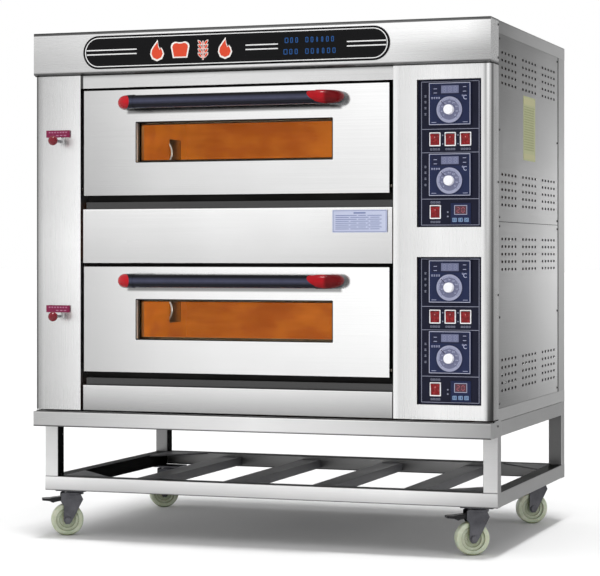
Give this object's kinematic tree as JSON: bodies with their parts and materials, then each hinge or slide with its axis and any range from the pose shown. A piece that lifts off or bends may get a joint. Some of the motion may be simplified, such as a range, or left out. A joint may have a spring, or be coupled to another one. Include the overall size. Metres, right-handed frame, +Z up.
{
  "type": "deck oven",
  "caption": "Gas deck oven with stacked drop-down doors, windows, dial controls and damper pulls, on an open castor stand with shelf bars.",
  "frame": {"origin": "on the floor, under the middle of the overall box", "axes": "+X to the oven's right seen from the front, +Y to its back, +Z up"},
  "size_m": [1.3535, 1.007, 1.432],
  "materials": {
    "front_steel": "mirror-bright satin stainless sheet",
    "side_steel": "satin stainless sheet",
    "stand_steel": "satin stainless tube",
    "dark_steel": "dark grey paint",
    "zinc_steel": "bright zinc plate",
    "wheel_nylon": "translucent pale green nylon",
    "sign_black": "polished black board",
    "rivet_steel": "plain steel",
    "chamber_steel": "heat-tinted aluminised steel",
    "liner_steel": "heat-tinted stainless sheet",
    "window_glass": "clear toughened glass",
    "handle_navy": "gloss navy-black sleeve",
    "handle_red": "gloss red",
    "damper_chrome": "bright rod",
    "lamp_glass": "lit amber glass",
    "gas_pipe": "black iron pipe",
    "galvanised_steel": "galvanised sheet",
    "overlay_black": "satin dark navy film",
    "instrument_navy": "satin navy plastic",
    "bezel_white": "white plastic",
    "rocker_red": "translucent red plastic",
    "dial_clear": "printed clear dial with white knob",
    "key_blue": "pale blue key"
  },
  "bodies": {
    "oven_frame": {"stand_frame": "stand_steel", "stand_slats": "dark_steel", "castor_plates": "zinc_steel", "base_tray": "side_steel", "roof_panel": "side_steel", "back_panel": "side_steel", "side_panels": "side_steel", "front_canopy": "front_steel", "sign_plate": "sign_black", "left_column": "front_steel", "control_column": "front_steel", "front_fascias": "front_steel", "fasteners": "rivet_steel", "baking_chambers": "chamber_steel", "chamber_lamps": "lamp_glass", "gas_train": "gas_pipe", "exhaust_ducts": "galvanised_steel", "control_plates": "overlay_black", "instrument_housings": "instrument_navy", "switch_bezels": "bezel_white"},
    "lower_door": {"lower_door_skin": "front_steel", "lower_door_liner": "liner_steel", "lower_door_glass": "window_glass", "lower_handle_grip": "handle_navy", "lower_handle_elbows": "handle_red"},
    "lower_damper": {"lower_damper_knob": "damper_chrome"},
    "upper_door": {"upper_door_skin": "front_steel", "upper_door_liner": "liner_steel", "upper_door_glass": "window_glass", "upper_handle_grip": "handle_navy", "upper_handle_elbows": "handle_red"},
    "upper_damper": {"upper_damper_knob": "damper_chrome"},
    "lower_bottom_heat_dial": {"lower_bottom_heat_dial": "dial_clear"},
    "lower_top_heat_dial": {"lower_top_heat_dial": "dial_clear"},
    "lower_light_rocker": {"lower_light_rocker": "rocker_red"},
    "lower_ignition_rocker": {"lower_ignition_rocker": "rocker_red"},
    "lower_buzzer_rocker": {"lower_buzzer_rocker": "rocker_red"},
    "lower_mains_rocker": {"lower_mains_rocker": "rocker_red"},
    "lower_timer_left_key": {"lower_timer_left_key": "key_blue"},
    "lower_timer_middle_key": {"lower_timer_middle_key": "key_blue"},
    "lower_timer_right_key": {"lower_timer_right_key": "key_blue"},
    "upper_bottom_heat_dial": {"upper_bottom_heat_dial": "dial_clear"},
    "upper_top_heat_dial": {"upper_top_heat_dial": "dial_clear"},
    "upper_light_rocker": {"upper_light_rocker": "rocker_red"},
    "upper_ignition_rocker": {"upper_ignition_rocker": "rocker_red"},
    "upper_buzzer_rocker": {"upper_buzzer_rocker": "rocker_red"},
    "upper_mains_rocker": {"upper_mains_rocker": "rocker_red"},
    "upper_timer_left_key": {"upper_timer_left_key": "key_blue"},
    "upper_timer_middle_key": {"upper_timer_middle_key": "key_blue"},
    "upper_timer_right_key": {"upper_timer_right_key": "key_blue"},
    "front_left_castor": {"front_left_castor_fork": "zinc_steel"},
    "front_left_wheel": {"front_left_castor_wheel": "wheel_nylon"},
    "front_left_brake": {"front_left_brake_pedal": "zinc_steel"},
    "front_right_castor": {"front_right_castor_fork": "zinc_steel"},
    "front_right_wheel": {"front_right_castor_wheel": "wheel_nylon"},
    "front_right_brake": {"front_right_brake_pedal": "zinc_steel"},
    "rear_left_castor": {"rear_left_castor_fork": "zinc_steel"},
    "rear_left_wheel": {"rear_left_castor_wheel": "wheel_nylon"},
    "rear_right_castor": {"rear_right_castor_fork": "zinc_steel"},
    "rear_right_wheel": {"rear_right_castor_wheel": "wheel_nylon"}
  },
  "joints": [
    {"name": "lower_door_hinge", "type": "hinge", "parent": "oven_frame", "child": "lower_door", "pos_m": [-0.066, -0.403, 0.497], "axis": [1, 0, 0], "range_deg": [0, 90]},
    {"name": "lower_damper_pull", "type": "slide", "parent": "oven_frame", "child": "lower_damper", "axis": [0, -1, 0], "range_m": [0, 0.06]},
    {"name": "upper_door_hinge", "type": "hinge", "parent": "oven_frame", "child": "upper_door", "pos_m": [-0.066, -0.403, 0.991], "axis": [1, 0, 0], "range_deg": [0, 90]},
    {"name": "upper_damper_pull", "type": "slide", "parent": "oven_frame", "child": "upper_damper", "axis": [0, -1, 0], "range_m": [0, 0.06]},
    {"name": "lower_bottom_heat_dial_turn", "type": "hinge", "parent": "oven_frame", "child": "lower_bottom_heat_dial", "pos_m": [0.5475, -0.408, 0.532], "axis": [0, 1, 0], "range_deg": [-90, 180]},
    {"name": "lower_top_heat_dial_turn", "type": "hinge", "parent": "oven_frame", "child": "lower_top_heat_dial", "pos_m": [0.5475, -0.408, 0.72], "axis": [0, 1, 0], "range_deg": [-90, 180]},
    {"name": "lower_light_rocker_rock", "type": "hinge", "parent": "oven_frame", "child": "lower_light_rocker", "pos_m": [0.5055, -0.404, 0.6425], "axis": [1, 0, 0], "range_deg": [-16, 0]},
    {"name": "lower_ignition_rocker_rock", "type": "hinge", "parent": "oven_frame", "child": "lower_ignition_rocker", "pos_m": [0.5475, -0.404, 0.6425], "axis": [1, 0, 0], "range_deg": [-16, 0]},
    {"name": "lower_buzzer_rocker_rock", "type": "hinge", "parent": "oven_frame", "child": "lower_buzzer_rocker", "pos_m": [0.5895, -0.404, 0.6425], "axis": [1, 0, 0], "range_deg": [-16, 0]},
    {"name": "lower_mains_rocker_rock", "type": "hinge", "parent": "oven_frame", "child": "lower_mains_rocker", "pos_m": [0.5065, -0.404, 0.4495], "axis": [1, 0, 0], "range_deg": [-16, 0]},
    {"name": "lower_timer_left_key_press", "type": "slide", "parent": "oven_frame", "child": "lower_timer_left_key", "axis": [0, 1, 0], "range_m": [0, 0.0012], "stiffness_N_per_m": 400},
    {"name": "lower_timer_middle_key_press", "type": "slide", "parent": "oven_frame", "child": "lower_timer_middle_key", "axis": [0, 1, 0], "range_m": [0, 0.0012], "stiffness_N_per_m": 400},
    {"name": "lower_timer_right_key_press", "type": "slide", "parent": "oven_frame", "child": "lower_timer_right_key", "axis": [0, 1, 0], "range_m": [0, 0.0012], "stiffness_N_per_m": 400},
    {"name": "upper_bottom_heat_dial_turn", "type": "hinge", "parent": "oven_frame", "child": "upper_bottom_heat_dial", "pos_m": [0.5475, -0.408, 1.003], "axis": [0, 1, 0], "range_deg": [-90, 180]},
    {"name": "upper_top_heat_dial_turn", "type": "hinge", "parent": "oven_frame", "child": "upper_top_heat_dial", "pos_m": [0.5475, -0.408, 1.191], "axis": [0, 1, 0], "range_deg": [-90, 180]},
    {"name": "upper_light_rocker_rock", "type": "hinge", "parent": "oven_frame", "child": "upper_light_rocker", "pos_m": [0.5055, -0.404, 1.1135], "axis": [1, 0, 0], "range_deg": [-16, 0]},
    {"name": "upper_ignition_rocker_rock", "type": "hinge", "parent": "oven_frame", "child": "upper_ignition_rocker", "pos_m": [0.5475, -0.404, 1.1135], "axis": [1, 0, 0], "range_deg": [-16, 0]},
    {"name": "upper_buzzer_rocker_rock", "type": "hinge", "parent": "oven_frame", "child": "upper_buzzer_rocker", "pos_m": [0.5895, -0.404, 1.1135], "axis": [1, 0, 0], "range_deg": [-16, 0]},
    {"name": "upper_mains_rocker_rock", "type": "hinge", "parent": "oven_frame", "child": "upper_mains_rocker", "pos_m": [0.5065, -0.404, 0.9205], "axis": [1, 0, 0], "range_deg": [-16, 0]},
    {"name": "upper_timer_left_key_press", "type": "slide", "parent": "oven_frame", "child": "upper_timer_left_key", "axis": [0, 1, 0], "range_m": [0, 0.0012], "stiffness_N_per_m": 400},
    {"name": "upper_timer_middle_key_press", "type": "slide", "parent": "oven_frame", "child": "upper_timer_middle_key", "axis": [0, 1, 0], "range_m": [0, 0.0012], "stiffness_N_per_m": 400},
    {"name": "upper_timer_right_key_press", "type": "slide", "parent": "oven_frame", "child": "upper_timer_right_key", "axis": [0, 1, 0], "range_m": [0, 0.0012], "stiffness_N_per_m": 400},
    {"name": "front_left_castor_swivel", "type": "hinge", "parent": "oven_frame", "child": "front_left_castor", "pos_m": [-0.6, -0.308, 0.118], "axis": [0, 0, 1], "continuous": true},
    {"name": "front_left_wheel_spin", "type": "hinge", "parent": "front_left_castor", "child": "front_left_wheel", "pos_m": [-0.61732, -0.318, 0.046], "axis": [-0.5, 0.866, 0], "continuous": true},
    {"name": "front_left_brake_press", "type": "hinge", "parent": "front_left_castor", "child": "front_left_brake", "pos_m": [-0.62685, -0.3235, 0.107], "axis": [0.5, -0.866, 0], "range_deg": [0, 14]},
    {"name": "front_right_castor_swivel", "type": "hinge", "parent": "oven_frame", "child": "front_right_castor", "pos_m": [0.6, -0.308, 0.118], "axis": [0, 0, 1], "continuous": true},
    {"name": "front_right_wheel_spin", "type": "hinge", "parent": "front_right_castor", "child": "front_right_wheel", "pos_m": [0.58268, -0.318, 0.046], "axis": [-0.5, 0.866, 0], "continuous": true},
    {"name": "front_right_brake_press", "type": "hinge", "parent": "front_right_castor", "child": "front_right_brake", "pos_m": [0.57315, -0.3235, 0.107], "axis": [0.5, -0.866, 0], "range_deg": [0, 14]},
    {"name": "rear_left_castor_swivel", "type": "hinge", "parent": "oven_frame", "child": "rear_left_castor", "pos_m": [-0.6, 0.397, 0.118], "axis": [0, 0, 1], "continuous": true},
    {"name": "rear_left_wheel_spin", "type": "hinge", "parent": "rear_left_castor", "child": "rear_left_wheel", "pos_m": [-0.61732, 0.387, 0.046], "axis": [-0.5, 0.866, 0], "continuous": true},
    {"name": "rear_right_castor_swivel", "type": "hinge", "parent": "oven_frame", "child": "rear_right_castor", "pos_m": [0.6, 0.397, 0.118], "axis": [0, 0, 1], "continuous": true},
    {"name": "rear_right_wheel_spin", "type": "hinge", "parent": "rear_right_castor", "child": "rear_right_wheel", "pos_m": [0.58268, 0.387, 0.046], "axis": [-0.5, 0.866, 0], "continuous": true}
  ]
}
